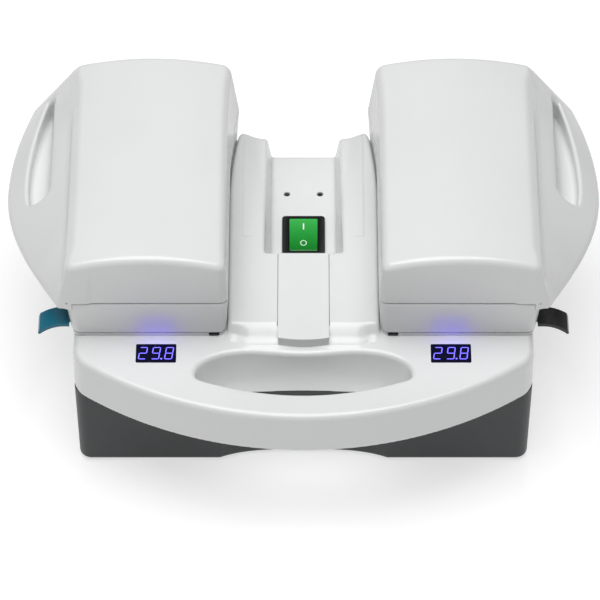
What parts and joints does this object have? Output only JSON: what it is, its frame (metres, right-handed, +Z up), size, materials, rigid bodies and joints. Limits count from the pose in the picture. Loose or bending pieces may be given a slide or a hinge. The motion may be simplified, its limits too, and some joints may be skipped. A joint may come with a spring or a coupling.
{
  "type": "boot dryer",
  "caption": "Bench-top warm-air dryer: dark tray, white cover with a bowed carrying handle, side-by-side lidded chambers with finger wings, digital displays and a green rocker.",
  "frame": {"origin": "centre of the bounding box's bottom, on the surface that the feet stand on", "axes": "+X to the user's right along the row of chambers, -Y towards the user and the carrying handle, +Z up"},
  "size_m": [0.3468, 0.2314, 0.1577],
  "materials": {
    "white_shell": "glossy white moulded plastic",
    "dark_tray": "satin anthracite moulded plastic",
    "black_plastic": "satin black plastic",
    "blue_latch": "glossy teal-blue plastic",
    "green_rocker": "glossy green lens, lit from inside",
    "display_window": "polished dark navy window over blue digits",
    "rubber": "matt black rubber",
    "steel": "bright steel",
    "aluminium": "plain aluminium",
    "circuit_board": "green solder resist",
    "filter_foam": "open-cell foam"
  },
  "bodies": {
    "base": {"base_tray": "dark_tray", "case_screw_front_left": "steel", "case_screw_front_right": "steel", "case_screw_rear_left": "steel", "case_screw_rear_right": "steel", "centre_cover": "white_shell", "chamber_pad_left": "rubber", "chamber_pad_right": "rubber", "control_board": "circuit_board", "display_board_left": "circuit_board", "display_board_right": "circuit_board", "display_left": "display_window", "display_right": "display_window", "duct_left": "black_plastic", "duct_right": "black_plastic", "fan_frame_left": "black_plastic", "fan_frame_right": "black_plastic", "foot_front_left": "rubber", "foot_front_right": "rubber", "foot_rear_left": "rubber", "foot_rear_right": "rubber", "heater_left": "aluminium", "heater_right": "aluminium", "hinge_pin_left": "steel", "hinge_pin_right": "steel", "inlet_contact_earth": "steel", "inlet_contact_line": "steel", "inlet_contact_neutral": "steel", "intake_filter_left": "filter_foam", "intake_filter_right": "filter_foam", "latch_pin_left": "steel", "latch_pin_right": "steel", "latch_spring_left": "steel", "latch_spring_right": "steel", "outlet_grille_left": "black_plastic", "outlet_grille_right": "black_plastic", "pod_tub_left": "white_shell", "pod_tub_right": "white_shell", "power_inlet": "black_plastic", "power_supply": "aluminium", "switch_bezel": "black_plastic", "temperature_probe_left": "steel", "temperature_probe_right": "steel", "top_cover": "white_shell", "trough_screw_left": "steel", "trough_screw_right": "steel"},
    "lid_left": {"lid_left": "white_shell", "lid_gasket_left": "rubber"},
    "lid_right": {"lid_right": "white_shell", "lid_gasket_right": "rubber"},
    "latch_left": {"latch_lever_left": "blue_latch"},
    "latch_right": {"latch_lever_right": "black_plastic"},
    "rocker": {"switch_rocker": "green_rocker"},
    "fan_left": {"fan_rotor_left": "black_plastic"},
    "fan_right": {"fan_rotor_right": "black_plastic"}
  },
  "joints": [
    {"name": "lid_left_hinge", "type": "hinge", "parent": "base", "child": "lid_left", "pos_m": [-0.09, 0.1128, 0.1169], "axis": [-1, 0, 0], "range_deg": [0, 85]},
    {"name": "latch_left_press", "type": "hinge", "parent": "base", "child": "latch_left", "pos_m": [-0.1265, -0.0399, 0.099], "axis": [0, -1, 0], "range_deg": [0, 6], "stiffness_Nm_per_rad": 0.3, "springref_deg": -17.19},
    {"name": "fan_left_spin", "type": "hinge", "parent": "base", "child": "fan_left", "pos_m": [-0.09, 0.028, 0.0162], "axis": [0, 0, 1], "continuous": true},
    {"name": "lid_right_hinge", "type": "hinge", "parent": "base", "child": "lid_right", "pos_m": [0.09, 0.1128, 0.1169], "axis": [-1, 0, 0], "range_deg": [0, 85]},
    {"name": "latch_right_press", "type": "hinge", "parent": "base", "child": "latch_right", "pos_m": [0.1265, -0.0399, 0.099], "axis": [0, 1, 0], "range_deg": [0, 6], "stiffness_Nm_per_rad": 0.3, "springref_deg": -17.19},
    {"name": "fan_right_spin", "type": "hinge", "parent": "base", "child": "fan_right", "pos_m": [0.09, 0.028, 0.0162], "axis": [0, 0, 1], "continuous": true},
    {"name": "rocker_press", "type": "hinge", "parent": "base", "child": "rocker", "pos_m": [0, 0.0423, 0.072], "axis": [-1, 0, 0], "range_deg": [0, 9.4]}
  ]
}
